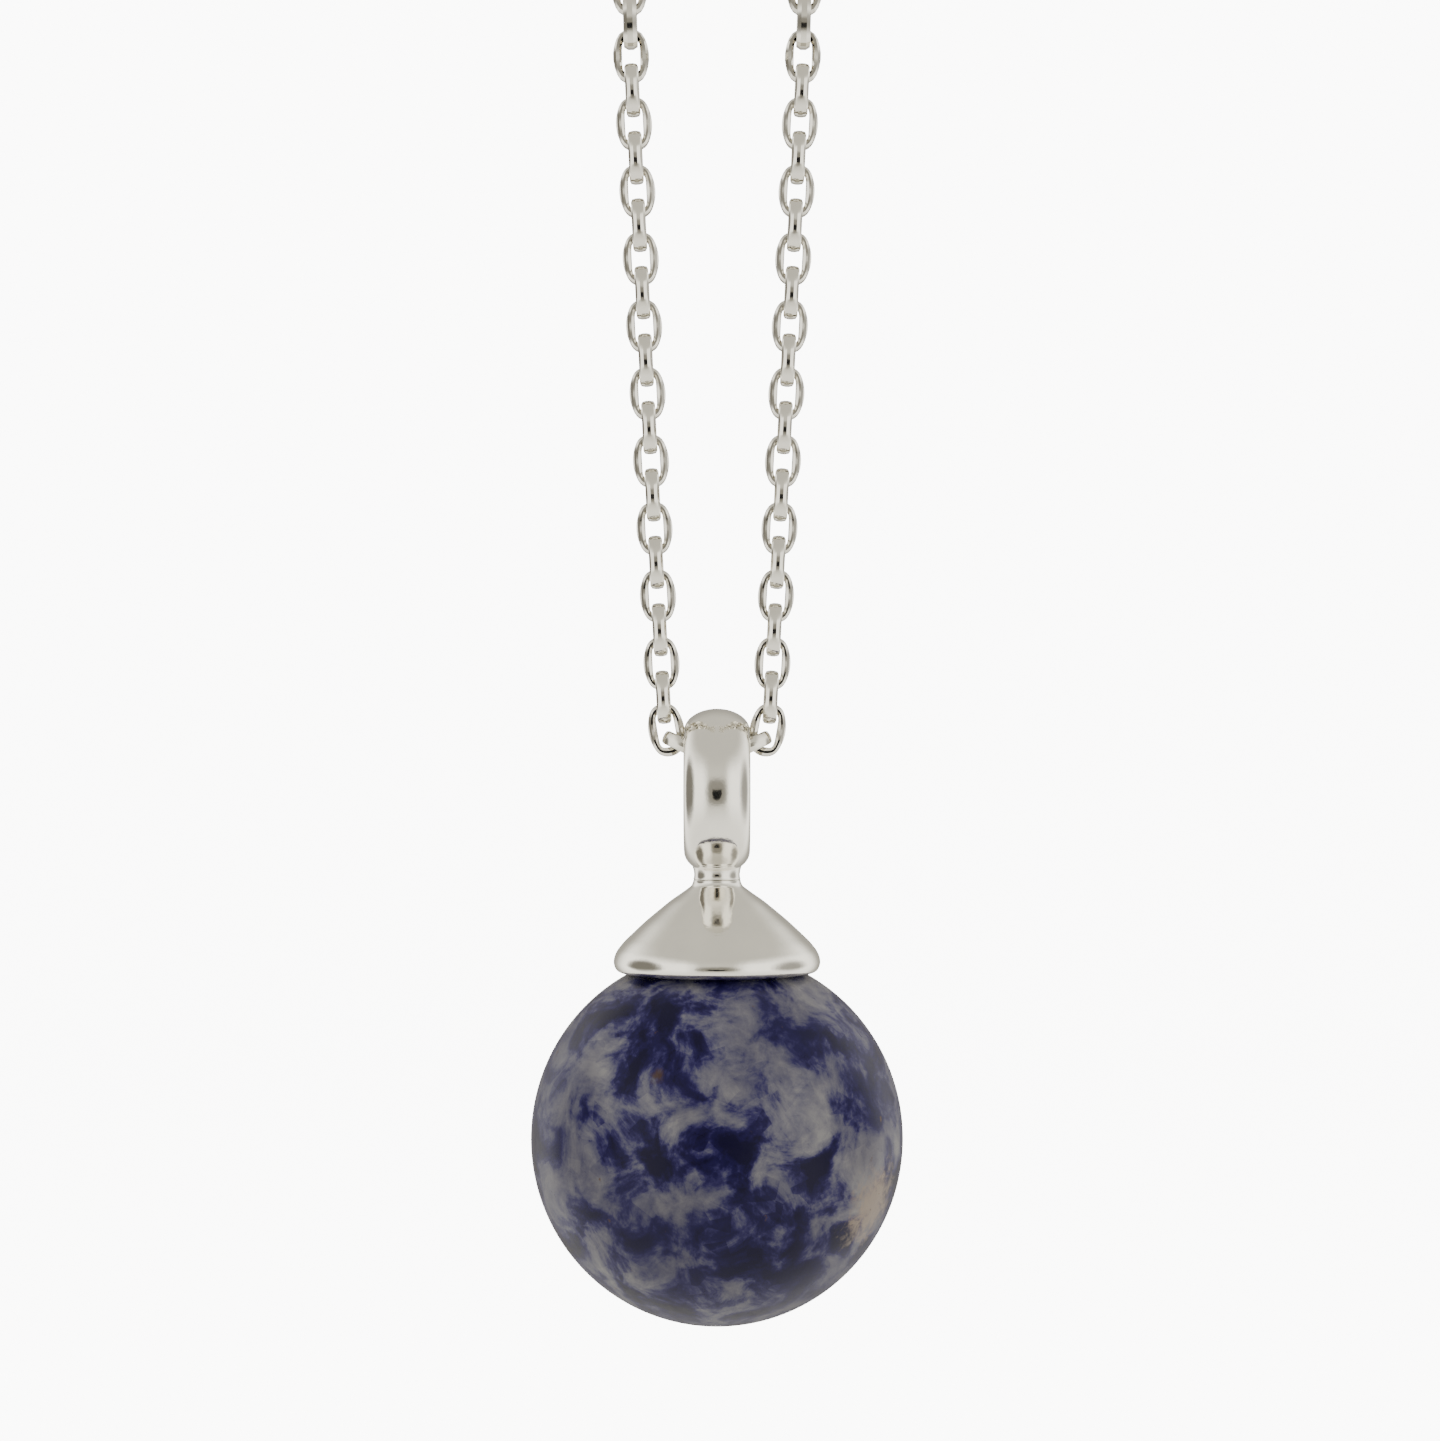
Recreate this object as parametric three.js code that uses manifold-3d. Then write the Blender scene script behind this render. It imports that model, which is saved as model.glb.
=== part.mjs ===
// A ball pendant with a hooded cap on a fine silver anchor chain. Millimetres, +Z up, front at -Y.
//
// The necklace hangs over a horizontal display bar. The bar's axis is the X axis of the part. Each
// strand rises from the bail to the bar, is wound over it, and its end meets the other at the clasp,
// which hangs behind. Below the wound turns every link is a piece of its own.
import * as THREE from 'three';
import { mergeVertices } from 'three/addons/utils/BufferGeometryUtils.js';
import Module from 'manifold-3d';

const wasm = await Module();
wasm.setup();

// ---- Chain dimensions ----
const LINK_WIDTH = 1.566;
const LINK_END_BAR = 0.41;
const LINK_DEPTH = 0.6;
const OPENING_HALF_LENGTH = 0.747;
const OPENING_HALF_WIDTH = 0.385;
const OPENING_CORNER = 0.09;
const LINK_GAP = 0.04;
const LINKS_PER_STRAND = 20;
const PASS_LINK_SLOPE = 25; // degrees above horizontal, of the link beside the centre one
const FIRST_LINK_TILT = 10; // degrees off vertical
const STRAND_SLOPE = 0.053; // sideways run per rise of the strand at its foot
const STRAND_CURVE = 0.0028; // share by which that slope lessens with each millimetre of height

// ---- Pendant dimensions, heights from the pendant's own zero ----
const PENDANT_DROP = 0.4; // centre link's centre down to that zero
const BEAD_DIAMETER = 16;
const BEAD_HEIGHT = -15.98;
const BEAD_HOLE_RADIUS = 0.5;
const BEAD_HOLE_END = -13.2;
const PIN_RADIUS = 0.45;
const PIN_TOP = -5.98;
const PIN_END = -13;
const BAIL_HEIGHT = -1.086;
const BAIL_HOLE_RADIUS = 2.31;
const BAIL_OUTER_RADIUS = 3.55;
const BAIL_HALF_WIDTH = 1.42;
const NECK_RADIUS = 1;
const NECK_END = -4.88;
const SEAM_GAP = 0.02;
// [radius, height] down the cap's outside to its rim, and back up its inside.
const CAP_OUTSIDE = [
  [1.03, NECK_END - SEAM_GAP], [1.06, -5.05], [1.13, -5.2], [1.42, -5.4], [2.03, -5.82], [3.08, -6.69],
  [4.01, -7.57], [4.31, -7.95], [4.42, -8.2], [4.46, -8.43], [4.42, -8.62], [4.33, -8.78], [4.22, -8.85],
];
const CAP_INSIDE = [[3.72, -8.8], [0.75, -5.95]];

// ---- Wound chain dimensions ----
const HANG = 61.5; // bar axis down to the centre link's centre
const LOOP_RADIUS = 3.9;
const LOOP_RUN = 20.3;
const LAYER_START = 4;
const LAYER_PITCH = 1.7;
const CHAIN_RADIUS = 0.78;
const COIL_RADIUS = 0.8;
const STRAND_PLANE = -LOOP_RADIUS;

// ---- Clasp dimensions, a spring ring. Its angles run from +X towards +Z ----
const CLASP_CENTRE = new THREE.Vector3(0.6, 6.5, -10.6);
const CLASP_RADIUS = 2.4;
const CLASP_TUBE_RADIUS = 0.6;
const CLASP_BORE_RADIUS = 0.36;
const GATE_START = 35;
const GATE_END = 85;
const BORE_END = 240;
const SOCKET_START = 20;
const SLOT_START = 103;
const SLOT_END = 154;
const SLOT_HALF_WIDTH = 0.17;
const BOLT_RADIUS = 0.3;
const BOLT_START = 30;
const BOLT_END = 128;
const LEVER_ANGLE = 109;
const EYE_CENTRE = -3.45;
const EYE_RADIUS = 0.6;
const EYE_WIRE = 0.22;
const SPRING_RADIUS = 0.22;
const SPRING_WIRE = 0.06;
const SPRING_TURNS = 8;
const JUMP_RING_CENTRE = -4.55;
const JUMP_RING_RADIUS = 0.95;
const JUMP_RING_WIRE = 0.2;
const END_RING_CENTRE = 2.85;
const END_RING_RADIUS = 1.35;
const END_RING_WIRE = 0.25;

const radians = THREE.MathUtils.degToRad;
const necklace = new THREE.Group();

// ---- Helpers ----
function metal(color, roughness) {
  return new THREE.MeshStandardMaterial({ color, roughness, metalness: 1 });
}

function add(name, geometry, material, parent = necklace) {
  const mesh = new THREE.Mesh(geometry, material);
  mesh.name = name;
  parent.add(mesh);
  return mesh;
}

function welded(geometry) {
  const bare = geometry.index ? geometry.toNonIndexed() : geometry.clone();
  bare.deleteAttribute('normal');
  bare.deleteAttribute('uv');
  const joined = mergeVertices(bare, 1e-4);
  const corners = Array.from(joined.index.array);
  const kept = [];
  for (let i = 0; i < corners.length; i += 3) {
    const [a, b, c] = corners.slice(i, i + 3);
    if (a !== b && b !== c && c !== a) {
      kept.push(a, b, c);
    }
  }
  joined.setIndex(kept);
  return joined;
}

function volumeOf(geometry) {
  const positions = geometry.getAttribute('position');
  const corner = (i) => new THREE.Vector3().fromBufferAttribute(positions, geometry.index.getX(i));
  let total = 0;
  for (let i = 0; i < geometry.index.count; i += 3) {
    total += corner(i).dot(corner(i + 1).cross(corner(i + 2)));
  }
  return total / 6;
}

// Welds the corners and turns every face outward.
function closed(geometry) {
  const joined = welded(geometry);
  if (volumeOf(joined) < 0) {
    joined.setIndex(Array.from(joined.index.array).reverse());
  }
  joined.computeVertexNormals();
  return joined;
}

function toSolid(geometry) {
  const joined = closed(geometry);
  return new wasm.Manifold(new wasm.Mesh({
    numProp: 3,
    vertProperties: Float32Array.from(joined.getAttribute('position').array),
    triVerts: Uint32Array.from(joined.index.array),
  }));
}

function fromSolid(solid) {
  const mesh = solid.getMesh();
  const geometry = new THREE.BufferGeometry();
  geometry.setAttribute('position', new THREE.BufferAttribute(mesh.vertProperties, 3));
  geometry.setIndex(Array.from(mesh.triVerts));
  return closed(geometry);
}

// A turned shape about Z from [radius, height] pairs.
function turned(profile, sides) {
  const points = profile.map(([r, z]) => new THREE.Vector2(r, z));
  return new THREE.LatheGeometry(points, sides).rotateX(Math.PI / 2);
}

function disc(radius, sides) {
  const points = [];
  for (let i = 0; i < sides; i += 1) {
    const angle = (2 * Math.PI * i) / sides;
    points.push(new THREE.Vector2(radius * Math.cos(angle), radius * Math.sin(angle)));
  }
  return new THREE.Shape(points);
}

function tube(curve, radius, steps, sides = 8) {
  return new THREE.ExtrudeGeometry(disc(radius, sides), { steps, bevelEnabled: false, extrudePath: curve });
}

// A circular arc in the clasp's plane.
class ClaspArc extends THREE.Curve {
  constructor(from, to) {
    super();
    this.from = from;
    this.to = to;
  }

  getPoint(t, target = new THREE.Vector3()) {
    const angle = radians(this.from + (this.to - this.from) * t);
    return target.set(CLASP_RADIUS * Math.cos(angle), 0, CLASP_RADIUS * Math.sin(angle));
  }
}

// ---- The chain links ----
// One link: its length along Z and its opening through Y.
function linkGeometry() {
  const halfLength = OPENING_HALF_LENGTH + LINK_END_BAR;
  const radius = LINK_WIDTH / 2;
  const outline = new THREE.Shape();
  outline.absarc(0, halfLength - radius, radius, 0, Math.PI, false);
  outline.absarc(0, radius - halfLength, radius, Math.PI, 2 * Math.PI, false);
  const opening = new THREE.Path();
  const [x, y, cut] = [OPENING_HALF_WIDTH, OPENING_HALF_LENGTH, OPENING_CORNER];
  opening.setFromPoints([
    [x, y - cut], [x - cut, y], [cut - x, y], [-x, y - cut],
    [-x, cut - y], [cut - x, -y], [x - cut, -y], [x, cut - y],
  ].map(([u, v]) => new THREE.Vector2(u, v)));
  outline.holes.push(opening);
  const options = { depth: LINK_DEPTH, bevelEnabled: false, curveSegments: 6 };
  const link = new THREE.ExtrudeGeometry(outline, options);
  link.translate(0, 0, -LINK_DEPTH / 2);
  return closed(link.rotateX(Math.PI / 2));
}

// How far an end bar turned by an angle reaches along the link that holds it.
function barReach(angle) {
  return (LINK_END_BAR * Math.cos(angle) + LINK_DEPTH * Math.abs(Math.sin(angle))) / 2;
}

const toBar = OPENING_HALF_LENGTH + LINK_END_BAR / 2;
const upward = (tilt) => new THREE.Vector2(Math.sin(tilt), Math.cos(tilt));
const heldAt = (turn) => OPENING_HALF_LENGTH - barReach(turn) - LINK_GAP;

// Centres and tilts off vertical of one strand's links, from the pass link up.
function strandLinks() {
  let tilt = radians(90 - PASS_LINK_SLOPE);
  const foot = new THREE.Vector2(heldAt(radians(PASS_LINK_SLOPE)), 0);
  const links = [{ centre: foot.addScaledVector(upward(tilt), toBar), tilt, turned: true }];
  let height = 0;
  for (let k = 1; k <= LINKS_PER_STRAND; k += 1) {
    const below = links.at(-1);
    const slope = STRAND_SLOPE / (1 + STRAND_CURVE * height);
    tilt = k === 1 ? radians(FIRST_LINK_TILT) : Math.atan(slope);
    const held = heldAt(tilt - below.tilt);
    const bar = below.centre.clone().addScaledVector(upward(below.tilt), below.turned ? toBar : held);
    const centre = bar.addScaledVector(upward(tilt), below.turned ? held : toBar);
    links.push({ centre, tilt, turned: !below.turned });
    height = centre.y;
  }
  return links;
}

const chain = new THREE.Group();
chain.position.set(0, STRAND_PLANE, -HANG);
necklace.add(chain);
const link = linkGeometry();
const strand = strandLinks();

function addLink(name, x, z, tilt, sideways) {
  const mesh = add(name, link, metal(0xcfccc4, 0.22), chain);
  mesh.position.set(x, 0, z);
  mesh.rotation.set(0, tilt, sideways ? Math.PI / 2 : 0, 'YXZ');
}

addLink('centre_link', 0, 0, Math.PI / 2, false);
for (const [side, sign] of [['left', -1], ['right', 1]]) {
  strand.forEach((place, k) => {
    const name = k === 0 ? `${side}_pass_link` : `${side}_link_${String(k).padStart(2, '0')}`;
    addLink(name, sign * place.centre.x, place.centre.y, sign * place.tilt, place.turned);
  });
}

// ---- The pendant. Its bail is a half-round ring about X with a short neck below ----
const pendant = new THREE.Group();
pendant.position.set(0, STRAND_PLANE, -HANG - PENDANT_DROP);
necklace.add(pendant);

function bailGeometry() {
  const shoulder = BAIL_HOLE_RADIUS + 0.2;
  const crown = BAIL_OUTER_RADIUS - shoulder;
  const [edge, side] = [BAIL_HOLE_RADIUS + 0.1, 1.05];
  const inner = [[edge, -side], [BAIL_HOLE_RADIUS, -0.7], [BAIL_HOLE_RADIUS, 0.7], [edge, side]];
  const dome = [];
  const domeSteps = 10;
  for (let i = 0; i <= domeSteps; i += 1) {
    const angle = Math.PI / 2 - (Math.PI * i) / domeSteps;
    dome.push([shoulder + crown * Math.cos(angle), BAIL_HALF_WIDTH * Math.sin(angle)]);
  }
  const ring = turned([...inner, ...dome, inner[0]], 36).rotateY(Math.PI / 2);
  const neckTop = NECK_END - BAIL_HEIGHT + 1.3;
  const neckFoot = NECK_END - BAIL_HEIGHT;
  const neck = turned([
    [0, neckFoot], [NECK_RADIUS + 0.04, neckFoot], [NECK_RADIUS, neckFoot + 0.12],
    [NECK_RADIUS, neckFoot + 0.4], [1.12, neckFoot + 0.75], [1.12, neckTop], [0, neckTop],
  ], 28);
  return fromSolid(toSolid(ring).add(toSolid(neck)));
}

add('bail_ring', bailGeometry(), metal(0xd9d5cb, 0.1), pendant).position.z = BAIL_HEIGHT;

// ---- The cap, hollow under its hood ----
const capProfile = [[0, CAP_OUTSIDE[0][1]], ...CAP_OUTSIDE, ...CAP_INSIDE, [0, CAP_INSIDE.at(-1)[1]]];
add('bead_cap', closed(turned(capProfile, 40)), metal(0xd9d5cb, 0.1), pendant);

// ---- The pin that joins cap and bead ----
add('bead_pin', closed(turned([
  [0, PIN_TOP], [PIN_RADIUS, PIN_TOP], [PIN_RADIUS, PIN_END + 0.12],
  [PIN_RADIUS - 0.12, PIN_END], [0, PIN_END],
], 16)), metal(0xb9b7b2, 0.35), pendant);

// ---- The stone bead, drilled from the top ----
function beadGeometry() {
  const radius = BEAD_DIAMETER / 2;
  const steps = 18;
  const start = Math.asin(BEAD_HOLE_RADIUS / radius);
  const profile = [[0, BEAD_HOLE_END], [BEAD_HOLE_RADIUS, BEAD_HOLE_END]];
  for (let i = 0; i < steps; i += 1) {
    const angle = start + ((Math.PI - start) * i) / steps;
    profile.push([radius * Math.sin(angle), BEAD_HEIGHT + radius * Math.cos(angle)]);
  }
  profile.push([0, BEAD_HEIGHT - radius]);
  return closed(turned(profile, 36));
}

const sodalite = new THREE.MeshStandardMaterial({ color: 0x4b4e74, roughness: 0.32, metalness: 0 });
add('stone_bead', beadGeometry(), sodalite, pendant);

// ---- The chain beyond the separate links, as plain solids of its outer shape ----
function lineThrough(points) {
  return new THREE.CatmullRomCurve3(points.map((p) => new THREE.Vector3(...p)), false, 'centripetal');
}

function addRun(name, points) {
  const curve = lineThrough(points);
  const steps = Math.ceil(curve.getLength() / (2 * LINK_WIDTH));
  add(name, closed(tube(curve, CHAIN_RADIUS, steps)), metal(0xcfccc4, 0.22));
}

// Two turns side by side over the bar.
function coilGeometry() {
  const oval = (path, radius) => {
    path.absarc(0, 0, radius, 0, Math.PI, false);
    path.absarc(0, -LOOP_RUN, radius, Math.PI, 2 * Math.PI, false);
    return path;
  };
  const outline = oval(new THREE.Shape(), LOOP_RADIUS + COIL_RADIUS);
  outline.holes.push(oval(new THREE.Path(), LOOP_RADIUS - COIL_RADIUS));
  const depth = LAYER_PITCH + 2 * COIL_RADIUS;
  const coil = new THREE.ExtrudeGeometry(outline, { depth, bevelEnabled: false, curveSegments: 12 });
  // The outline's up becomes +Z and its depth runs along +X.
  coil.applyMatrix4(new THREE.Matrix4().makeBasis(
    new THREE.Vector3(0, 1, 0), new THREE.Vector3(0, 0, 1), new THREE.Vector3(1, 0, 0)));
  return coil.translate(LAYER_START - COIL_RADIUS, 0, 0);
}

const topLink = strand.at(-1);
const toLead = OPENING_HALF_LENGTH + LINK_END_BAR + 0.1;
const linkTop = topLink.centre.clone().addScaledVector(upward(topLink.tilt), toLead);
const lastLayer = LAYER_START + 2 * LAYER_PITCH;
const overBar = [180, 150, 120, 90, 60, 30, 0].map((angle) => [
  lastLayer, LOOP_RADIUS * Math.cos(radians(angle)), LOOP_RADIUS * Math.sin(radians(angle)),
]);
// From behind the bar the end swings out past the turns and back in to the clasp.
const toClasp = [
  [7.5, 4.3, -1.6], [7.5, 5.2, -3.4], [7.4, 6, -5], [6.95, 6.4, -6.6],
  [6.2, CLASP_CENTRE.y, -8.2], [5.5, CLASP_CENTRE.y, -9.5],
];
const endRoute = [
  [lastLayer, -LOOP_RADIUS, -LOOP_RUN - 1.6],
  [lastLayer, -LOOP_RADIUS, -LOOP_RUN / 2],
  ...overBar,
  ...toClasp,
];
for (const [side, sign] of [['left', -1], ['right', 1]]) {
  const mirrored = ([x, y, z]) => [sign * x, y, z];
  addRun(`${side}_lead`, [
    [linkTop.x, STRAND_PLANE, linkTop.y - HANG],
    [LAYER_START - 0.05, STRAND_PLANE, -LOOP_RUN - 7],
    [LAYER_START, STRAND_PLANE, -LOOP_RUN - 3.8],
  ].map(mirrored));
  add(`${side}_coil`, closed(coilGeometry().scale(sign, 1, 1)), metal(0xcfccc4, 0.22));
  addRun(`${side}_end`, endRoute.map(mirrored));
}

// ---- The clasp ----
const clasp = new THREE.Group();
clasp.position.copy(CLASP_CENTRE);
necklace.add(clasp);

// A ring of round wire about an axis, 'y' or 'z'.
function wireRing(radius, wire, axis, around = 18, sides = 6) {
  const section = disc(wire, sides).getPoints().map((p) => new THREE.Vector2(p.x + radius, p.y));
  const ring = new THREE.LatheGeometry([...section, section[0].clone()], around);
  return axis === 'z' ? ring.rotateX(Math.PI / 2) : ring;
}

function claspBodyGeometry() {
  const cut = (from, to, steps) => toSolid(tube(new ClaspArc(from, to), CLASP_BORE_RADIUS, steps));
  const outline = new THREE.Shape();
  outline.absarc(0, 0, CLASP_RADIUS + SLOT_HALF_WIDTH, radians(SLOT_START), radians(SLOT_END), false);
  outline.absarc(0, 0, CLASP_RADIUS - SLOT_HALF_WIDTH, radians(SLOT_END), radians(SLOT_START), true);
  const slot = new THREE.ExtrudeGeometry(outline, { depth: 1, bevelEnabled: false, curveSegments: 8 });
  slot.rotateX(Math.PI / 2).scale(1, -1, 1);
  const eye = wireRing(EYE_RADIUS, EYE_WIRE, 'y', 18).translate(EYE_CENTRE, 0, 0);
  return fromSolid(toSolid(tube(new ClaspArc(GATE_END, GATE_START + 360), CLASP_TUBE_RADIUS, 28, 10))
    .add(toSolid(eye))
    .subtract(cut(GATE_END - 1, BORE_END, 18))
    .subtract(cut(SOCKET_START, GATE_START + 1, 3))
    .subtract(toSolid(slot)));
}

function claspBoltGeometry() {
  const rod = tube(new ClaspArc(BOLT_START, BOLT_END), BOLT_RADIUS, 12);
  const lever = new THREE.CylinderGeometry(0.24, 0.13, 0.95, 10);
  const angle = radians(LEVER_ANGLE);
  lever.translate(CLASP_RADIUS * Math.cos(angle), 0.475, CLASP_RADIUS * Math.sin(angle));
  return fromSolid(toSolid(rod).add(toSolid(lever)));
}

// The coil spring in the bore behind the bolt.
class SpringCurve extends THREE.Curve {
  getPoint(t, target = new THREE.Vector3()) {
    const along = radians(BOLT_END + 3 + (BORE_END - BOLT_END - 6) * t);
    const turn = 2 * Math.PI * SPRING_TURNS * t;
    const radius = CLASP_RADIUS + SPRING_RADIUS * Math.cos(turn);
    return target.set(radius * Math.cos(along), SPRING_RADIUS * Math.sin(turn), radius * Math.sin(along));
  }
}

add('clasp_body', claspBodyGeometry(), metal(0xd6d2c8, 0.15), clasp);
add('clasp_bolt', claspBoltGeometry(), metal(0xd6d2c8, 0.15), clasp);
const springGeometry = tube(new SpringCurve(), SPRING_WIRE, 8 * SPRING_TURNS, 4);
add('clasp_spring', closed(springGeometry), metal(0xa9a9a8, 0.3), clasp);
add('left_jump_ring', closed(wireRing(JUMP_RING_RADIUS, JUMP_RING_WIRE, 'z')), metal(0xd6d2c8, 0.15), clasp)
  .position.x = JUMP_RING_CENTRE;
add('right_end_ring', closed(wireRing(END_RING_RADIUS, END_RING_WIRE, 'z')), metal(0xd6d2c8, 0.15), clasp)
  .position.x = END_RING_CENTRE;

export default necklace;
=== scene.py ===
import math
import bpy
from mathutils import Matrix, Vector


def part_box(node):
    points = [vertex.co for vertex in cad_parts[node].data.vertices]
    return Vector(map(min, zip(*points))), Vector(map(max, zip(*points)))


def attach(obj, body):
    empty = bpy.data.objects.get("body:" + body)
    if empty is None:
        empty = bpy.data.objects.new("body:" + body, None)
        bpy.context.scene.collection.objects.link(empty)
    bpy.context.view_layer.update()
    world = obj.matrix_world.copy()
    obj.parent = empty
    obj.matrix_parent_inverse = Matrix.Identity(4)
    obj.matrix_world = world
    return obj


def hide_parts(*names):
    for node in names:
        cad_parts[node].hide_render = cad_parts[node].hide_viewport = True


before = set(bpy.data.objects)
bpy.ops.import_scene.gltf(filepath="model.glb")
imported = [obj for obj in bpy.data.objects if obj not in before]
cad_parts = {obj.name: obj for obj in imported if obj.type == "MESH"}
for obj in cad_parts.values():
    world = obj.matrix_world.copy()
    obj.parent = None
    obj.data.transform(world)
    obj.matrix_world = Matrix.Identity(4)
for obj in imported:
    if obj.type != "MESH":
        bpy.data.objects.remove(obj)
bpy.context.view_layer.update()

MM = 0.001

# ---- Chain dimensions, millimetres, as in the frame's solids ----
LINK_WIDTH = 1.566
END_BAR = 0.41
LINK_DEPTH = 0.6
OPENING_HALF_LENGTH = 0.747
OPENING_HALF_WIDTH = 0.385
LINK_PITCH = 1.454
HANG = 61.5
LOOP_RADIUS = 3.9
LOOP_RUN = 20.3
LAYERS = (4.0, 5.7, 7.4)
END_RUN = [
    (7.5, 4.3, -1.6), (7.5, 5.2, -3.4), (7.4, 6.0, -5), (7.0, 6.4, -6.6), (6.3, 6.5, -8.2),
    (5.5, 6.5, -9.6), (4.95, 6.5, -11.0),
]
STRAND_Y = -3.9
PENDANT = Vector((0, STRAND_Y, -HANG - 0.4))

# ---- Tilts of the hanging links from the vertical, degrees ----
PASS_LINK_TILT = 65
FIRST_LINK_TILT = 10

# ---- Pendant, millimetres, heights from the bail's centre link ----
BAIL_HALF_WIDTH = 1.42
BAIL_OUTER_RADIUS = 3.55
BAIL_HOLE_RADIUS = 2.31
BAIL_CENTRE_Z = -1.086
BEAD_RADIUS = 8
BEAD_CENTRE_Z = -15.98
BEAD_HOLE_RADIUS = 0.5
BEAD_HOLE_END_Z = -13.2

# ---- Clasp, millimetres ----
CLASP = Vector((0.6, 6.5, -10.6))
CLASP_RADIUS = 2.4
TUBE_RADIUS = 0.6
BORE_RADIUS = 0.36
BOLT_RADIUS = 0.3
SPRING_RADIUS = 0.22
SPRING_WIRE_RADIUS = 0.06
SPRING_TURNS = 8
SLOT_HALF_WIDTH = 0.17

# ---- Clasp, degrees round its circle from the X axis ----
BODY_ARC = (85, 395)
BORE_ARC = (84, 240)
SOCKET_ARC = (20, 36)
SLOT_START = 103
SLOT_SPAN = 51
BOLT_ARC = (30, 128)
LEVER_ANGLE = 109
SPRING_START = 170
SPRING_SPAN = 67
CLASP_SHARP_DEGREES = 35

# ---- Camera ----
FOCAL_LENGTH = 69.6
SENSOR_WIDTH = 36
CAMERA_DISTANCE = 120


def make_camera():
    data = bpy.data.cameras.new("camera")
    data.lens = FOCAL_LENGTH
    data.sensor_width = SENSOR_WIDTH
    data.clip_start = 0.005
    data.clip_end = 5
    camera = bpy.data.objects.new("camera", data)
    camera.location = (0.13 * MM, (STRAND_Y - CAMERA_DISTANCE) * MM, (PENDANT.z + 1.95) * MM)
    camera.rotation_euler = (math.pi / 2, 0, 0)
    bpy.context.scene.collection.objects.link(camera)
    bpy.context.scene.camera = camera


make_camera()


# ---- Mesh helpers, in millimetres ----
def mesh_object(name, vertices, faces, sharp_degrees=None):
    mesh = bpy.data.meshes.new(name)
    mesh.from_pydata([tuple(Vector(v) * MM) for v in vertices], [], faces)
    mesh.validate()
    mesh.update()
    obj = bpy.data.objects.new(name, mesh)
    bpy.context.scene.collection.objects.link(obj)
    smooth(mesh, sharp_degrees)
    return obj


def smooth(mesh, sharp_degrees=None):
    for polygon in mesh.polygons:
        polygon.use_smooth = True
    if sharp_degrees is not None:
        mesh.set_sharp_from_angle(angle=math.radians(sharp_degrees))


def grid_faces(rows, columns, close_rows, close_columns, first=0):
    """Quads of a grid of rows x columns points."""
    faces = []
    for i in range(rows if close_rows else rows - 1):
        for j in range(columns if close_columns else columns - 1):
            a, b = i, (i + 1) % rows
            c, d = j, (j + 1) % columns
            faces.append(tuple(first + r * columns + k for r, k in ((a, c), (b, c), (b, d), (a, d))))
    return faces


def lathe(name, profile, around, axis="Z", centre=(0, 0, 0), sharp_degrees=30):
    """profile is a list of (radius, height); a radius of 0 is a pole."""
    vertices, faces, rings = [], [], []
    for k, (radius, height) in enumerate(profile):
        if k and (radius, height) == profile[0]:
            rings.append(rings[0])
        elif radius == 0:
            rings.append([len(vertices)])
            vertices.append((0, 0, height))
        else:
            rings.append(list(range(len(vertices), len(vertices) + around)))
            for i in range(around):
                a = 2 * math.pi * i / around
                vertices.append((radius * math.cos(a), radius * math.sin(a), height))
    for low, high in zip(rings, rings[1:]):
        for i in range(around):
            j = (i + 1) % around
            corners = [low[i % len(low)], low[j % len(low)], high[j % len(high)], high[i % len(high)]]
            corners = [c for k, c in enumerate(corners) if c not in corners[:k]]
            if len(corners) > 2:
                faces.append(tuple(corners))
    turn = Matrix.Rotation(math.pi / 2, 3, "Y") if axis == "X" else Matrix.Identity(3)
    placed = [turn @ Vector(v) + Vector(centre) for v in vertices]
    return mesh_object(name, placed, faces, sharp_degrees)


def rounded(points, radius, steps=4):
    """A polyline of (x, y) with its inner corners rounded."""
    points = [Vector(p) for p in points]
    out = [points[0]]
    for before, here, after in zip(points, points[1:], points[2:]):
        to_before, to_after = before - here, after - here
        reach = min(radius, to_before.length * 0.45, to_after.length * 0.45)
        start = here + to_before.normalized() * reach
        end = here + to_after.normalized() * reach
        for k in range(steps + 1):
            t = k / steps
            out.append(start * (1 - t) ** 2 + here * 2 * t * (1 - t) + end * t**2)
    out.append(points[-1])
    return [(p.x, p.y) for p in out]


def capped(rows, columns):
    """Faces of a tube of rows x columns points with both ends closed."""
    last = (rows - 1) * columns
    faces = grid_faces(rows, columns, False, True)
    faces.append(tuple(range(columns - 1, -1, -1)))
    faces.append(tuple(last + k for k in range(columns)))
    return faces


def sweep(points, tangents, section):
    """Vertices and faces of a tube. section gives (side, up) offsets from the path, up nearest to Y."""
    vertices = []
    for point, tangent in zip(points, tangents):
        side = Vector((0, 1, 0)).cross(tangent).normalized()
        up = tangent.cross(side).normalized()
        vertices += [point + side * u + up * v for u, v in section]
    return vertices, capped(len(points), len(section))


def circle(radius, sides):
    """Points of a circle."""
    return [
        (radius * math.cos(2 * math.pi * k / sides), radius * math.sin(2 * math.pi * k / sides))
        for k in range(sides)
    ]


def boolean(target, tool, operation):
    """Joins the tool to the target or cuts it away, and removes the tool."""
    step = target.modifiers.new(operation, "BOOLEAN")
    step.operation = operation
    step.solver = "EXACT"
    step.object = tool
    made = bpy.data.meshes.new_from_object(target.evaluated_get(bpy.context.evaluated_depsgraph_get()))
    target.modifiers.clear()
    target.data = made
    bpy.data.objects.remove(tool)


# ---- One chain link: length along Z, opening through Y ----
LINK_SHARP_DEGREES = 17
OPENING_SQUARENESS = 5
WIRE_SQUARENESS = 3.2
FLAT_NORMAL = Vector((0.62, 0.785, 0))
FLAT_REACH = 0.604


def superellipse(c, s, power):
    """Distance from the centre to a rounded square of half width 1, in the direction (c, s)."""
    return (abs(c) ** power + abs(s) ** power) ** (-1 / power)


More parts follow.
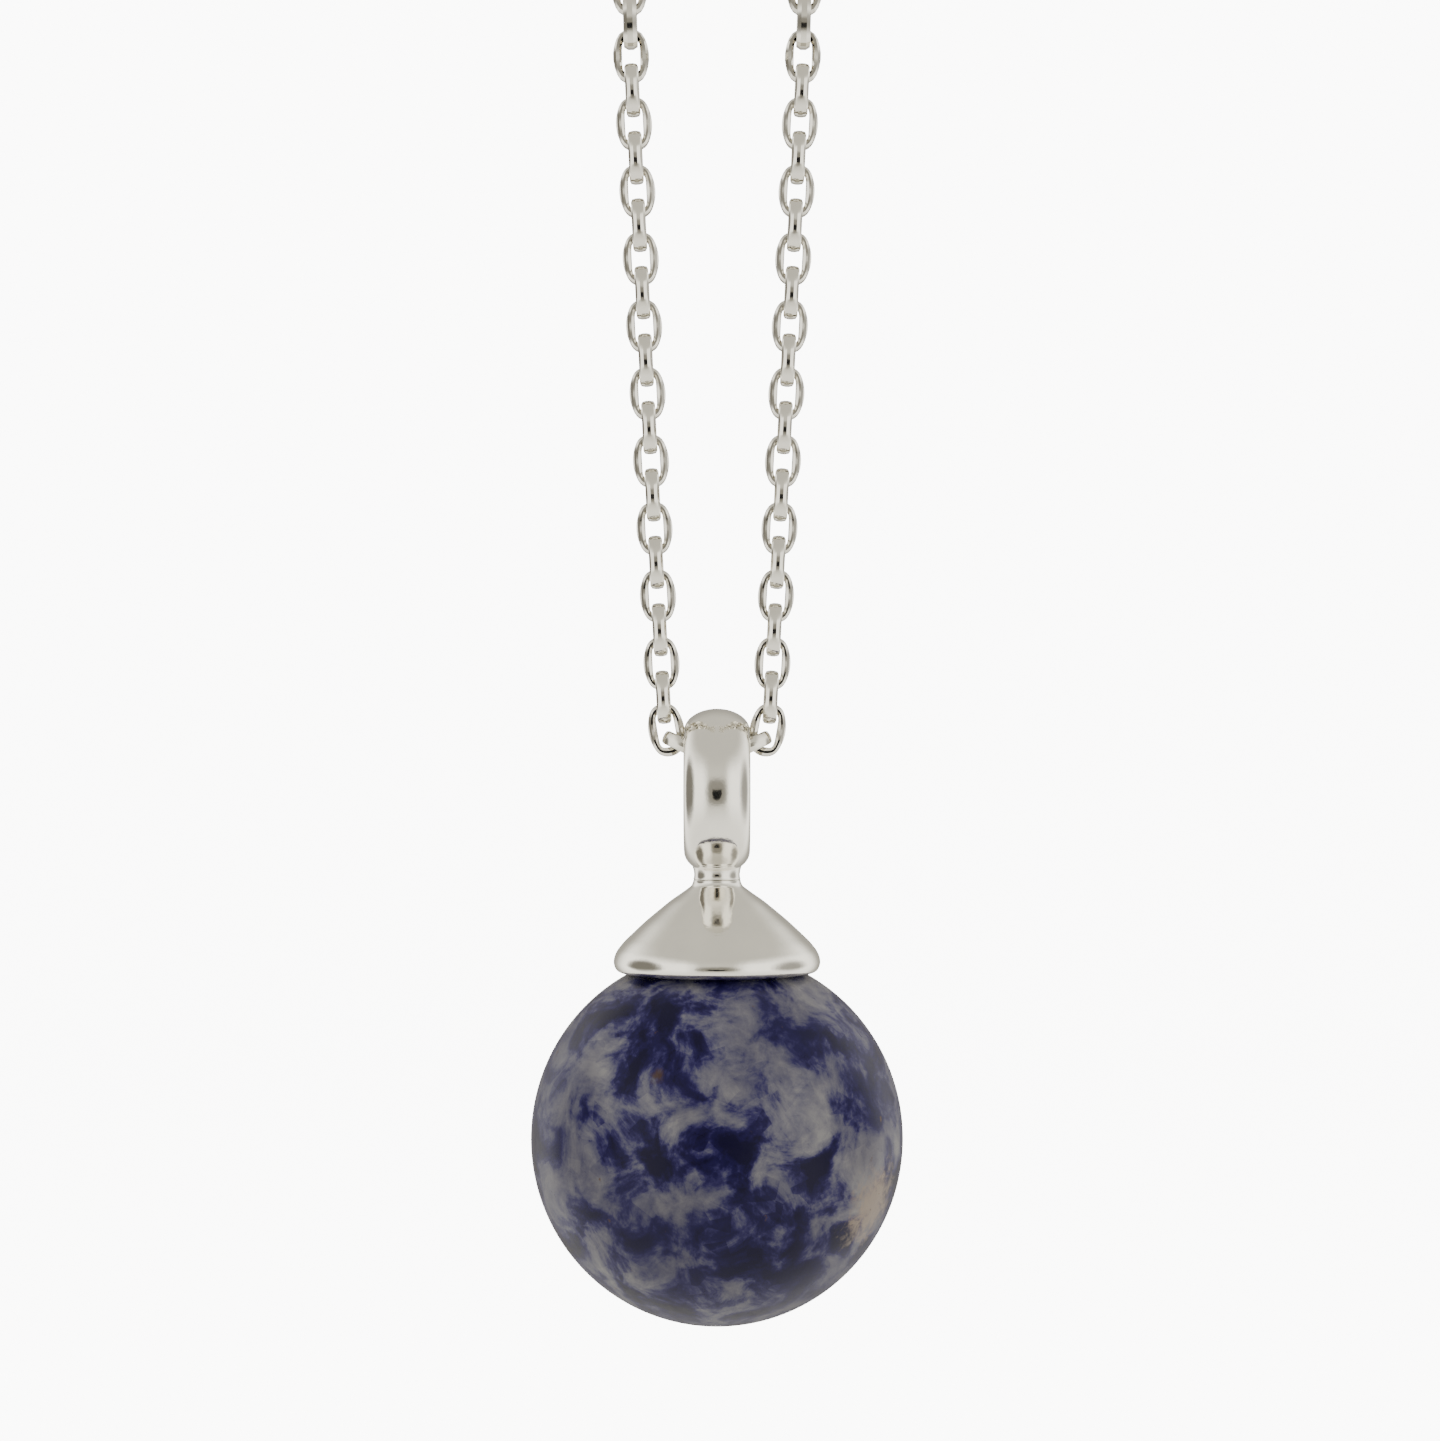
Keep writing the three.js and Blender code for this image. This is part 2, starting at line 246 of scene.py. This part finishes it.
def link_shape(around, section_sides):
    """Rings of the link's wire, with flats cut on its sides. The opening is a rounded rectangle, the
    outside a stadium."""
    half_length = OPENING_HALF_LENGTH + END_BAR
    end_radius = LINK_WIDTH / 2
    vertices = []
    for i in range(around):
        a = 2 * math.pi * (i + 0.5) / around
        c, s = math.cos(a), math.sin(a)
        square = superellipse(c, s, OPENING_SQUARENESS)
        inner = Vector((OPENING_HALF_WIDTH * c * square, OPENING_HALF_LENGTH * s * square))
        centre = max(-1, min(1, inner.y / OPENING_HALF_LENGTH)) * (half_length - end_radius)
        direction = Vector((inner.x, inner.y - centre)).normalized()
        outer = Vector((0, centre)) + direction * end_radius
        middle, half = (inner + outer) / 2, (outer - inner) / 2
        for j in range(section_sides):
            b = 2 * math.pi * (j + 0.5) / section_sides
            u, v = math.cos(b), math.sin(b)
            blunt = superellipse(u, v, WIRE_SQUARENESS)
            spot = middle + half * (u * blunt)
            vertices.append(Vector((spot.x, v * blunt * LINK_DEPTH / 2, spot.y)))
    for sx in (-1, 1):
        for sy in (-1, 1):
            normal = Vector((sx * FLAT_NORMAL.x, sy * FLAT_NORMAL.y, 0)).normalized()
            for k, v in enumerate(vertices):
                over = v.dot(normal) - FLAT_REACH
                if over > 0:
                    vertices[k] = v - normal * over
    return vertices, grid_faces(around, section_sides, True, True)


# ---- Materials ----
class Nodes:
    """Short ways to build a material's nodes."""

    def __init__(self, name):
        self.material = bpy.data.materials.new(name)
        self.material.use_nodes = True
        self.tree = self.material.node_tree
        self.shader = self.tree.nodes["Principled BSDF"]

    def node(self, kind, **settings):
        made = self.tree.nodes.new(kind)
        for key, value in settings.items():
            if key in made.inputs:
                self.put(made.inputs[key], value)
            else:
                setattr(made, key, value)
        return made

    def put(self, socket, value):
        if isinstance(value, bpy.types.NodeSocket):
            self.tree.links.new(value, socket)
        else:
            socket.default_value = value

    def position(self):
        return self.node("ShaderNodeTexCoord").outputs["Object"]

    def noise(self, scale, detail=3.0, roughness=0.5, distortion=0.0):
        made = self.node("ShaderNodeTexNoise", Scale=scale, Detail=detail, Roughness=roughness,
                         Distortion=distortion, Vector=self.position())
        return made.outputs["Fac"]

    def ramp(self, value, stops):
        made = self.node("ShaderNodeValToRGB")
        ramp = made.color_ramp
        while len(ramp.elements) < len(stops):
            ramp.elements.new(0.5)
        for element, (place, color) in zip(ramp.elements, stops):
            element.position = place
            element.color = (*color, 1) if isinstance(color, tuple) else (color, color, color, 1)
        self.put(made.inputs["Fac"], value)
        return made.outputs["Color"]

    def mix(self, factor, a, b):
        made = self.node("ShaderNodeMix", data_type="RGBA")
        self.put(made.inputs["Factor"], factor)
        self.put(made.inputs[6], a)
        self.put(made.inputs[7], b)
        return made.outputs[2]

    def map_range(self, value, low, high, to_low, to_high):
        made = self.node("ShaderNodeMapRange")
        for socket, given in zip(made.inputs, (value, low, high, to_low, to_high)):
            self.put(socket, given)
        return made.outputs["Result"]

    def math(self, operation, a, b):
        made = self.node("ShaderNodeMath", operation=operation)
        self.put(made.inputs[0], a)
        self.put(made.inputs[1], b)
        return made.outputs["Value"]

    def smooth_range(self, value, low, high):
        made = self.node("ShaderNodeMapRange", interpolation_type="SMOOTHSTEP", Value=value)
        made.inputs["From Min"].default_value = low
        made.inputs["From Max"].default_value = high
        return made.outputs["Result"]

    def bump(self, height, distance):
        made = self.node("ShaderNodeBump", Strength=1.0, Distance=distance, Height=height)
        self.put(self.shader.inputs["Normal"], made.outputs["Normal"])


def silver(name, color, rough_low, rough_high, wave=0.0):
    n = Nodes(name)
    n.shader.inputs["Metallic"].default_value = 1.0
    tarnish = n.noise(420, 3)
    dark = tuple(c * 0.93 for c in color)
    n.put(n.shader.inputs["Base Color"], n.ramp(tarnish, [(0.35, dark), (0.65, color)]))
    wear = n.noise(1500, 4)
    n.put(n.shader.inputs["Roughness"], n.map_range(wear, 0.35, 0.65, rough_low, rough_high))
    scratches = n.noise(5200, 2)
    if wave:
        n.bump(n.mix(0.5, n.noise(260, 1), scratches), wave)
    else:
        n.bump(scratches, 0.000002)
    return n.material


def sodalite(centre):
    """Navy stone with mid-blue and grey-white patches, one warm patch and a rusty speck."""
    n = Nodes("sodalite")
    large = n.noise(420, 7, 0.6, 0.5)
    fragments = n.node("ShaderNodeTexVoronoi", Scale=1150, Vector=n.position())
    fragment = n.node("ShaderNodeSeparateColor", Color=fragments.outputs["Color"]).outputs["Red"]
    fine = n.noise(1700, 5, 0.7, 0.6)
    value = n.math("ADD", large, n.math("MULTIPLY", n.math("SUBTRACT", fragment, 0.5), 0.055))
    value = n.math("ADD", value, n.math("MULTIPLY", n.math("SUBTRACT", fine, 0.5), 0.16))
    color = n.ramp(value, [
        (0.38, (0.003, 0.002, 0.014)), (0.45, (0.006, 0.004, 0.031)), (0.485, (0.017, 0.014, 0.055)),
        (0.51, (0.037, 0.035, 0.070)), (0.55, (0.066, 0.064, 0.087)), (0.68, (0.130, 0.126, 0.128)),
    ])
    shade = n.noise(210, 3, 0.5)
    color = n.mix(n.ramp(shade, [(0.45, 0.0), (0.62, 0.45)]), color, (0.009, 0.007, 0.034, 1))
    for place, reach, tint in ((Vector((6.5, -4.1, -2.3)), 1.9, (0.165, 0.13, 0.10, 1)),
                               (Vector((-2.45, -6.75, 3.5)), 0.36, (0.035, 0.019, 0.012, 1))):
        far = n.node("ShaderNodeVectorMath", operation="DISTANCE")
        n.put(far.inputs[0], n.position())
        far.inputs[1].default_value = (centre + place) * MM
        shift = n.math("MULTIPLY", n.math("SUBTRACT", fine, 0.5), reach * 0.0022)
        ragged = n.math("ADD", far.outputs["Value"], shift)
        near = n.map_range(ragged, reach * 0.35 * MM, reach * MM, 0.85, 0.0)
        color = n.mix(near, color, tint)
    specks = n.ramp(n.noise(1300, 3, 0.5), [(0.72, 0.0), (0.76, 0.8)])
    color = n.mix(specks, color, (0.05, 0.028, 0.018, 1))
    n.put(n.shader.inputs["Base Color"], color)
    n.put(n.shader.inputs["Roughness"], n.map_range(fine, 0.3, 0.7, 0.26, 0.38))
    n.put(n.shader.inputs["Specular IOR Level"], 0.12)
    n.bump(n.noise(1400, 4), 0.000006)
    return n.material


POLISHED = silver("polished_silver", (0.88, 0.855, 0.79), 0.05, 0.12, 0.000006)
CHAIN = silver("chain_silver", (0.80, 0.775, 0.705), 0.05, 0.11)
CLASP_SILVER = silver("clasp_silver", (0.85, 0.83, 0.80), 0.08, 0.16)
WIRE = silver("spring_steel", (0.55, 0.55, 0.54), 0.2, 0.35)
SODALITE = sodalite(PENDANT + Vector((0, 0, BEAD_CENTRE_Z)))


def finish_piece(obj, material, body, slot, *nodes):
    obj.data.materials.clear()
    obj.data.materials.append(material)
    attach(obj, body)
    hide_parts(*nodes)


# ---- The separate links ----
def strand_tilts():
    """Tilt of each link of a strand: the pass link, then link 1 to 20, which hang in a slight curve."""
    tilts = [math.radians(PASS_LINK_TILT), math.radians(FIRST_LINK_TILT)]
    for k in range(2, 21):
        low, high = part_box(f"right_link_{k:02d}")
        height = (Vector(low).z + Vector(high).z) / 2 / MM + HANG
        tilts.append(math.atan(0.053 / (1 + 0.0028 * height)))
    return tilts


def body_name(node):
    """The body of a link: the left and right links of one row turn together."""
    if node.endswith("pass_link"):
        return "pass_links"
    return "link_row_" + node[-2:] if node[-2:].isdigit() else node


def add_link(node, tilt, sideways, shared=None):
    """Adds a link at the middle of its solid, with the shared mesh if there is one. Returns its mesh."""
    if shared is None:
        made = mesh_object(f"{node}_silver", *link_shape(40, 12), LINK_SHARP_DEGREES)
    else:
        made = bpy.data.objects.new(f"{node}_silver", shared)
        bpy.context.scene.collection.objects.link(made)
    low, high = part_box(node)
    turn = Matrix.Rotation(tilt, 4, "Y")
    if sideways:
        turn = turn @ Matrix.Rotation(math.pi / 2, 4, "Z")
    made.matrix_world = Matrix.Translation((Vector(low) + Vector(high)) / 2) @ turn
    finish_piece(made, CHAIN, body_name(node), "chain_silver", node)
    return made.data


LINK_MESH = add_link("centre_link", math.pi / 2, False)
TILTS = strand_tilts()
for side, sign in (("left", -1), ("right", 1)):
    for k, tilt in enumerate(TILTS):
        node = f"{side}_link_{k:02d}" if k else f"{side}_pass_link"
        add_link(node, sign * tilt, k % 2 == 0, LINK_MESH)


# ---- The wound chain: one mesh of links a side, along the route of the solids ----
ROUTE_SPACING = 0.25


def smooth_line(points):
    """Catmull-Rom through the points, then even spacing."""
    points = [Vector(p) for p in points]
    padded = [2 * points[0] - points[1], *points, 2 * points[-1] - points[-2]]
    dense = []
    for p0, p1, p2, p3 in zip(padded, padded[1:], padded[2:], padded[3:]):
        for k in range(24):
            t = k / 24
            dense.append(0.5 * (2 * p1 + (p2 - p0) * t + (2 * p0 - 5 * p1 + 4 * p2 - p3) * t**2
                                + (3 * p1 - p0 - 3 * p2 + p3) * t**3))
    dense.append(points[-1])
    return evenly(dense, ROUTE_SPACING)


def evenly(points, spacing):
    """The same line with a point at every step of the spacing."""
    out, carried = [points[0]], 0.0
    for a, b in zip(points, points[1:]):
        length = (b - a).length
        while carried + length >= spacing:
            a = a + (b - a) * ((spacing - carried) / length)
            length = (b - a).length
            out.append(a)
            carried = 0.0
            if length < 1e-9:
                break
        carried += length
    return out


def turn_points(centre_z, start, end, x_from, x_to, steps=8):
    """Half a turn in the YZ plane, from one angle to another, drifting along X."""
    points = []
    for k in range(steps + 1):
        t = k / steps
        a = math.radians(start + (end - start) * t)
        eased = t * t * (3 - 2 * t)
        x = x_from + (x_to - x_from) * eased
        points.append((x, LOOP_RADIUS * math.cos(a), centre_z + LOOP_RADIUS * math.sin(a)))
    return points


def route():
    """Middle line of the right wound chain: from link 20 up, round the bar in layers, down to the clasp."""
    low, high = (Vector(v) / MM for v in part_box("right_link_20"))
    start = (low + high) / 2 + Vector((math.sin(TILTS[-1]), 0, math.cos(TILTS[-1]))) * LINK_PITCH / 2
    points = [
        start,
        start.lerp(Vector((LAYERS[0], STRAND_Y, -LOOP_RUN)), 0.5),
        (LAYERS[0], STRAND_Y, -LOOP_RUN - 2),
    ]
    for k, x in enumerate(LAYERS):
        for z in (-LOOP_RUN + 0.5, -LOOP_RUN * 0.75, -LOOP_RUN / 2, -LOOP_RUN * 0.25):
            points.append((x, -LOOP_RADIUS, z))
        points += turn_points(0, 180, 0, x, x)
        if k < 2:
            for z in (-LOOP_RUN * 0.25, -LOOP_RUN / 2, -LOOP_RUN * 0.75):
                points.append((x, LOOP_RADIUS, z))
            points += turn_points(-LOOP_RUN, 0, -180, x, LAYERS[k + 1])[:-1]
    return points + END_RUN


def chain_mesh(name, line, sign):
    """Links along the line, each a quarter turn from the one before."""
    vertices, faces = [], []
    base_vertices, base_faces = link_shape(24, 8)
    per_link = round(LINK_PITCH / ROUTE_SPACING * 1000) / 1000
    count = int((len(line) - 1) / per_link)
    up = Vector((0, 1, 0))
    last = None
    for k in range(count):
        place = (k + 0.5) * per_link
        i = min(int(place), len(line) - 2)
        centre = line[i].lerp(line[i + 1], place - i)
        j = min(i + 3, len(line) - 1)
        tangent = (line[j] - line[max(i - 2, 0)]).normalized()
        if last is not None:
            up = last.rotation_difference(tangent) @ up
        up = (up - tangent * up.dot(tangent)).normalized()
        last = tangent
        normal = up if k % 2 == 0 else tangent.cross(up)
        basis = Matrix((normal.cross(tangent), normal, tangent)).transposed()
        first = len(vertices)
        vertices += [centre + basis @ v for v in base_vertices]
        faces += [tuple(first + c for c in f) for f in base_faces]
    vertices = [Vector((sign * v.x, v.y, v.z)) for v in vertices]
    if sign < 0:
        faces = [tuple(reversed(f)) for f in faces]
    return mesh_object(name, vertices, faces, LINK_SHARP_DEGREES)


LINE = smooth_line(route())


def add_wound_chain(side, sign):
    """The wound chain of one side and its middle line in metres."""
    made = chain_mesh(f"{side}_wound_chain", LINE, sign)
    finish_piece(made, CHAIN, "bar_side", "chain_silver", f"{side}_lead", f"{side}_coil", f"{side}_end")
    path = [(sign * p.x * MM, p.y * MM, p.z * MM) for p in LINE]
    return made, path


# ---- Bail, cap, pin and bead ----
def make_bail():
    """Ring round the X axis with an eased inner edge and a crowned outside, joined to a waisted neck."""
    hole = BAIL_HOLE_RADIUS
    shoulder = hole + 0.29
    crown = BAIL_OUTER_RADIUS - shoulder
    inner = [
        (hole, 0.0), (hole, 0.6), (hole + 0.05, 0.85), (hole + 0.11, 1.05), (hole + 0.18, 1.24),
        (hole + 0.24, 1.36),
    ]
    profile = [(r, -x) for r, x in reversed(inner)] + inner[1:]
    for k in range(29):
        a = math.pi / 2 - math.pi * k / 28
        profile.append((shoulder + crown * math.cos(a), BAIL_HALF_WIDTH * math.sin(a)))
    profile.append(profile[0])
    ring = lathe("bail_ring_silver", profile, 120, "X", PENDANT + Vector((0, 0, BAIL_CENTRE_Z)), None)
    neck = lathe("bail_neck", [
        (0, -4.88), (1.0, -4.88), (1.02, -4.86), (0.995, -4.8), (0.985, -4.7), (0.99, -4.6),
        (1.01, -4.48), (1.05, -4.35), (1.12, -4.2), (1.2, -4.05), (1.28, -3.9), (1.3, -3.7), (0, -3.6),
    ], 64, "Z", PENDANT, 40)
    boolean(ring, neck, "UNION")
    smooth(ring.data, 32)
    return ring


finish_piece(make_bail(), POLISHED, "pendant", "polished_silver", "bail_ring")

cap_profile = rounded([
    (1.0, -4.9), (1.02, -4.92), (1.03, -5.0), (1.10, -5.16), (1.42, -5.4), (2.03, -5.82), (3.08, -6.69),
    (4.01, -7.57), (4.31, -7.95), (4.42, -8.2), (4.46, -8.43), (4.42, -8.62), (4.33, -8.78),
    (4.2, -8.85), (3.85, -8.85), (3.72, -8.72), (0.75, -5.97),
], 0.25)
cap = lathe("bead_cap_silver", [(0, -4.9), *cap_profile, (0, -5.96)], 128, "Z", PENDANT, 38)
finish_piece(cap, POLISHED, "pendant", "polished_silver", "bead_cap")

pin_profile = [(0, -5.98), (0.42, -5.98), (0.45, -6.01), (0.45, -12.85), (0.33, -13.0), (0, -13.0)]
pin = lathe("bead_pin_silver", pin_profile, 32, "Z", PENDANT)
finish_piece(pin, WIRE, "pendant", "pin_silver", "bead_pin")

bead_profile = [(0, BEAD_HOLE_END_Z), (BEAD_HOLE_RADIUS, BEAD_HOLE_END_Z)]
hole_edge = math.asin(BEAD_HOLE_RADIUS / BEAD_RADIUS)
for k in range(96):
    a = hole_edge + (math.pi - hole_edge) * k / 96
    bead_profile.append((BEAD_RADIUS * math.sin(a), BEAD_CENTRE_Z + BEAD_RADIUS * math.cos(a)))
bead_profile.append((0, BEAD_CENTRE_Z - BEAD_RADIUS))
bead = lathe("stone_bead_sodalite", bead_profile, 160, "Z", PENDANT, 40)
finish_piece(bead, SODALITE, "pendant", "sodalite", "stone_bead")


# ---- The clasp ----
def arc_tube(name, start, end, steps, wire):
    """A tube of round section along the clasp's circle, between two angles in degrees."""
    points, tangents = [], []
    for k in range(steps + 1):
        a = math.radians(start + (end - start) * k / steps)
        points.append(CLASP + CLASP_RADIUS * Vector((math.cos(a), 0, math.sin(a))))
        tangents.append(Vector((-math.sin(a), 0, math.cos(a))))
    return mesh_object(name, *sweep(points, tangents, circle(wire, 24)), CLASP_SHARP_DEGREES)


def wire_ring(name, centre, radius, wire, flat):
    """A ring of round wire, lying flat or standing in the clasp's plane."""
    points, tangents = [], []
    for k in range(48):
        a = 2 * math.pi * k / 48
        across = Vector((0, math.sin(a), 0)) if flat else Vector((0, 0, math.sin(a)))
        points.append(Vector(centre) + radius * (Vector((math.cos(a), 0, 0)) + across))
        along = Vector((0, math.cos(a), 0)) if flat else Vector((0, 0, math.cos(a)))
        tangents.append(Vector((-math.sin(a), 0, 0)) + along)
    up = Vector((0, 0, 1)) if flat else Vector((0, 1, 0))
    vertices = []
    for point, tangent in zip(points, tangents):
        side = tangent.cross(up)
        vertices += [point + side * u + up * v for u, v in circle(wire, 16)]
    return mesh_object(name, vertices, grid_faces(48, 16, True, True))


def make_clasp_body():
    """A bent tube with an eye, a bore for the bolt, a socket for its tip and a slot for its lever."""
    body = arc_tube("clasp_body_silver", *BODY_ARC, 84, TUBE_RADIUS)
    boolean(body, wire_ring("eye", CLASP + Vector((-3.45, 0, 0)), 0.6, 0.22, False), "UNION")
    boolean(body, arc_tube("bore", *BORE_ARC, 44, BORE_RADIUS), "DIFFERENCE")
    boolean(body, arc_tube("socket", *SOCKET_ARC, 6, BORE_RADIUS), "DIFFERENCE")
    vertices = []
    steps = 14
    for k in range(steps + 1):
        a = math.radians(SLOT_START + SLOT_SPAN * k / steps)
        for radius in (CLASP_RADIUS - SLOT_HALF_WIDTH, CLASP_RADIUS + SLOT_HALF_WIDTH):
            for y in (0.0, 1.0):
                vertices.append(CLASP + Vector((radius * math.cos(a), y, radius * math.sin(a))))
    faces = [(0, 2, 3, 1), tuple(4 * steps + k for k in (0, 1, 3, 2))]
    for k in range(steps):
        for a, b in ((0, 1), (1, 3), (3, 2), (2, 0)):
            faces.append((4 * k + a, 4 * k + b, 4 * k + 4 + b, 4 * k + 4 + a))
    boolean(body, mesh_object("slot", vertices, faces), "DIFFERENCE")
    smooth(body.data, CLASP_SHARP_DEGREES)
    return body


def make_bolt():
    """A bent rod with a round lever that stands out through the slot."""
    bolt = arc_tube("clasp_bolt_silver", *BOLT_ARC, 36, BOLT_RADIUS)
    a = math.radians(LEVER_ANGLE)
    foot = CLASP + CLASP_RADIUS * Vector((math.cos(a), 0, math.sin(a)))
    rings = [(0.0, 0.13), (0.62, 0.13), (0.68, 0.2), (0.74, 0.235), (0.86, 0.24), (0.93, 0.2), (0.95, 0.12)]
    vertices = [foot + Vector((r * math.cos(2 * math.pi * k / 20), y, r * math.sin(2 * math.pi * k / 20)))
                for y, r in rings for k in range(20)]
    faces = grid_faces(len(rings), 20, False, True)
    faces += [tuple(range(20)), tuple(reversed(range(20 * (len(rings) - 1), 20 * len(rings))))]
    boolean(bolt, mesh_object("lever", vertices, faces), "UNION")
    smooth(bolt.data, CLASP_SHARP_DEGREES)
    return bolt


def make_spring():
    """A coil along the clasp's circle, as short as it is with the bolt pulled back."""
    points = []
    count, sides = 160, 8
    for k in range(count + 1):
        t = k / count
        a = math.radians(SPRING_START + SPRING_SPAN * t)
        turn = 2 * math.pi * SPRING_TURNS * t
        radius = CLASP_RADIUS + SPRING_RADIUS * math.cos(turn)
        offset = (radius * math.cos(a), SPRING_RADIUS * math.sin(turn), radius * math.sin(a))
        points.append(CLASP + Vector(offset))
    vertices = []
    side = None
    for k, point in enumerate(points):
        tangent = (points[min(k + 1, count)] - points[max(k - 1, 0)]).normalized()
        if side is None:
            side = tangent.orthogonal().normalized()
        else:
            side = (side - tangent * side.dot(tangent)).normalized()
        up = tangent.cross(side)
        vertices += [point + side * u + up * v for u, v in circle(SPRING_WIRE_RADIUS, sides)]
    return mesh_object("clasp_spring_wire", vertices, capped(count + 1, sides))


clasp_body = make_clasp_body()
finish_piece(clasp_body, CLASP_SILVER, "bar_side", "clasp_silver", "clasp_body")
clasp_bolt = make_bolt()
finish_piece(clasp_bolt, CLASP_SILVER, "clasp_bolt", "clasp_silver", "clasp_bolt")
clasp_spring = make_spring()
finish_piece(clasp_spring, WIRE, "bar_side", "spring_steel", "clasp_spring")
jump_ring = wire_ring("left_jump_ring_silver", CLASP + Vector((-4.55, 0, 0)), 0.95, 0.2, True)
finish_piece(jump_ring, CLASP_SILVER, "bar_side", "clasp_silver", "left_jump_ring")
end_ring = wire_ring("right_end_ring_silver", CLASP + Vector((2.85, 0, 0)), 1.35, 0.25, True)
finish_piece(end_ring, CLASP_SILVER, "bar_side", "clasp_silver", "right_end_ring")

LEFT_END_PIECES = [clasp_body, clasp_bolt, clasp_spring, jump_ring]
for side, sign, pieces in (("left", -1, LEFT_END_PIECES), ("right", 1, [end_ring])):
    chain, path = add_wound_chain(side, sign)


# ---- Backdrop and light ----
FLOOR_GLOW = 9.0
LIGHT_WATTS = 0.35
LIGHT_AIM = (0, 0, -60)


def plain(name, color):
    """Even pale paint that glows."""
    n = Nodes(name)
    darker = tuple(c * 0.99 for c in color)
    n.put(n.shader.inputs["Base Color"], n.ramp(n.noise(3, 2), [(0.3, darker), (0.7, color)]))
    n.shader.inputs["Roughness"].default_value = 0.9
    n.shader.inputs["Emission Color"].default_value = (1, 1, 1, 1)
    n.shader.inputs["Emission Strength"].default_value = FLOOR_GLOW
    return n.material


def make_stage():
    """A pale round floor that curves up into a dome, seen only by the camera."""
    floor_height, reach, bend = -112, 480, 160
    profile = [(0, floor_height), (reach - bend, floor_height)]
    for k in range(1, 13):
        a = math.pi / 2 * k / 12
        profile.append((reach - bend + bend * math.sin(a), floor_height + bend - bend * math.cos(a)))
    for k in range(1, 13):
        a = math.pi / 2 * k / 12
        profile.append((0 if k == 12 else reach * math.cos(a), floor_height + bend + reach * math.sin(a)))
    floor = lathe("floor", profile, 64, sharp_degrees=None)
    floor.data.materials.append(plain("floor_paint", (0.9, 0.9, 0.9)))
    for ray in ("glossy", "diffuse", "transmission", "shadow"):
        setattr(floor, "visible_" + ray, False)


make_stage()


def area_light(name, place, size):
    """A soft white rectangle of light aimed at the middle of the necklace."""
    data = bpy.data.lights.new(name, "AREA")
    data.shape = "RECTANGLE"
    data.size, data.size_y = size[0] * MM, size[1] * MM
    data.energy = LIGHT_WATTS
    lamp = bpy.data.objects.new(name, data)
    lamp.location = Vector(place) * MM
    lamp.rotation_mode = "QUATERNION"
    lamp.rotation_quaternion = (Vector(LIGHT_AIM) - Vector(place)).to_track_quat("-Z", "Y")
    lamp.visible_glossy = False
    bpy.context.scene.collection.objects.link(lamp)


area_light("top_light", (0, -40, 160), (220, 180))
area_light("left_light", (-210, -90, -20), (120, 260))
area_light("right_light", (210, -90, -20), (120, 260))


class World(Nodes):
    """The same node helpers for the world's background."""

    def __init__(self):
        world = bpy.data.worlds.new("studio")
        bpy.context.scene.world = world
        world.use_nodes = True
        self.tree = world.node_tree
        self.shader = self.tree.nodes["Background"]


def make_world():
    """A warm grey room: pale at the sides and below, darker far left, behind and straight in front."""
    w = World()
    split = w.node("ShaderNodeSeparateXYZ", Vector=w.node("ShaderNodeTexCoord").outputs["Generated"])
    x, y, z = (split.outputs[k] for k in "XYZ")
    across = w.math("ABSOLUTE", x, 0.0)
    sides = w.smooth_range(across, 0.25, 0.62)
    far_sides = w.smooth_range(across, 0.84, 0.99)
    level = w.smooth_range(w.math("ABSOLUTE", z, 0.0), 0.42, 0.22)
    front = w.math("MULTIPLY", w.smooth_range(y, -0.86, -0.97), level)
    behind = w.smooth_range(y, 0.55, 0.95)
    below = w.smooth_range(z, -0.15, -0.75)
    above = w.smooth_range(z, 0.35, 0.8)
    color = w.mix(sides, (0.98, 0.95, 0.84, 1), (2.30, 2.25, 2.08, 1))
    color = w.mix(far_sides, color, (0.50, 0.48, 0.43, 1))
    far_left = w.smooth_range(x, -0.84, -0.97)
    color = w.mix(far_left, color, (0.26, 0.245, 0.21, 1))
    color = w.mix(above, color, (0.86, 0.83, 0.73, 1))
    color = w.mix(below, color, (1.60, 1.56, 1.42, 1))
    color = w.mix(behind, color, (0.52, 0.495, 0.43, 1))
    color = w.mix(front, color, (0.36, 0.34, 0.29, 1))
    lens = w.math("MULTIPLY", w.smooth_range(y, -0.976, -0.986), w.smooth_range(z, 0.09, 0.02))
    color = w.mix(lens, color, (0.02, 0.02, 0.02, 1))
    w.put(w.shader.inputs["Color"], color)
    w.shader.inputs["Strength"].default_value = 1.0


make_world()
